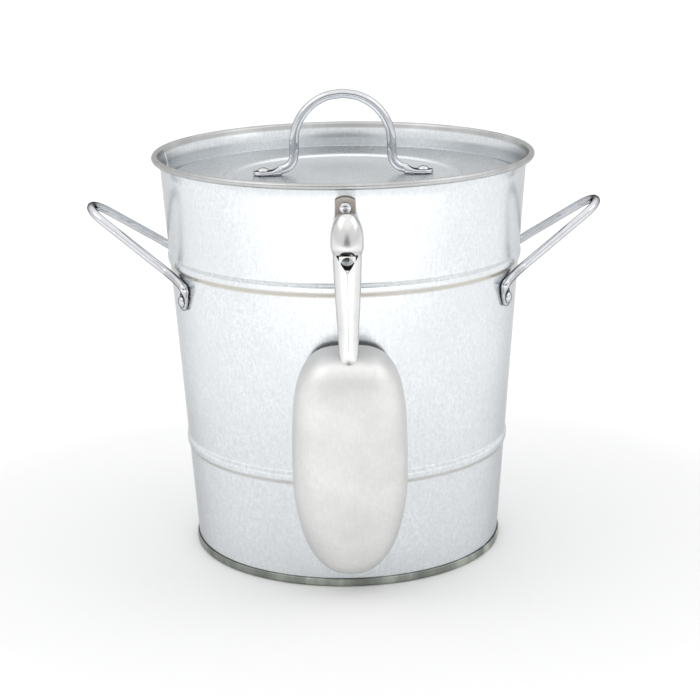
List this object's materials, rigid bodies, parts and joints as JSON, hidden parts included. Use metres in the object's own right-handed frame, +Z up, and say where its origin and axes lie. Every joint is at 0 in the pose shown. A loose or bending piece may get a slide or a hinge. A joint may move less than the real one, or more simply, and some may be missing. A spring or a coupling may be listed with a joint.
{
  "type": "ice bucket",
  "caption": "Tapered double-walled galvanized ice bucket with ribbed sides, riveted rod handles, a recessed lid that lifts off, and a stainless scoop hanging on a front hook",
  "frame": {"origin": "On the bucket's axis, in the plane that it stands on", "axes": "+Z up; +X through the right-hand side handle; the scoop hangs on the -Y side"},
  "size_m": [0.2958, 0.2392, 0.2666],
  "materials": {
    "galvanized": "galvanized sheet, semi-gloss with a fine spangle",
    "liner": "satin sheet",
    "seam": "dull dark grey seam ring",
    "chrome": "bright chromed steel",
    "nickel": "satin nickel, brownish",
    "scoop": "stainless steel, satin bowl and polished handle",
    "foam": "rigid insulating foam"
  },
  "bodies": {
    "bucket": {"outer_shell": "galvanized", "rim_wire": "galvanized", "base_pan": "seam", "inner_liner": "liner", "liner_floor": "liner", "insulation_sleeve": "foam", "insulation_base": "foam", "side_handle_right": "chrome", "side_handle_left": "chrome", "scoop_hook": "nickel", "hook_rivet": "chrome", "side_rivet_left_front": "chrome", "side_washer_left_front": "nickel", "side_rivet_left_rear": "chrome", "side_washer_left_rear": "nickel", "side_rivet_right_front": "chrome", "side_washer_right_front": "nickel", "side_rivet_right_rear": "chrome", "side_washer_right_rear": "nickel"},
    "lid": {"lid_top": "galvanized", "lid_pan": "galvanized", "lid_insulation": "foam", "lid_handle": "chrome", "lid_rivet_left": "chrome", "lid_rivet_right": "chrome", "lid_washer_left": "nickel", "lid_washer_right": "nickel"},
    "scoop": {"scoop_bowl": "scoop", "scoop_handle": "scoop"}
  },
  "joints": [
    {"name": "lid_lift", "type": "slide", "parent": "bucket", "child": "lid", "axis": [0, 0, 1], "range_m": [0, 0.12]},
    {"name": "scoop_lift_off", "type": "slide", "parent": "bucket", "child": "scoop", "axis": [0, -0.7071, 0.7071], "range_m": [0, 0.12]}
  ]
}
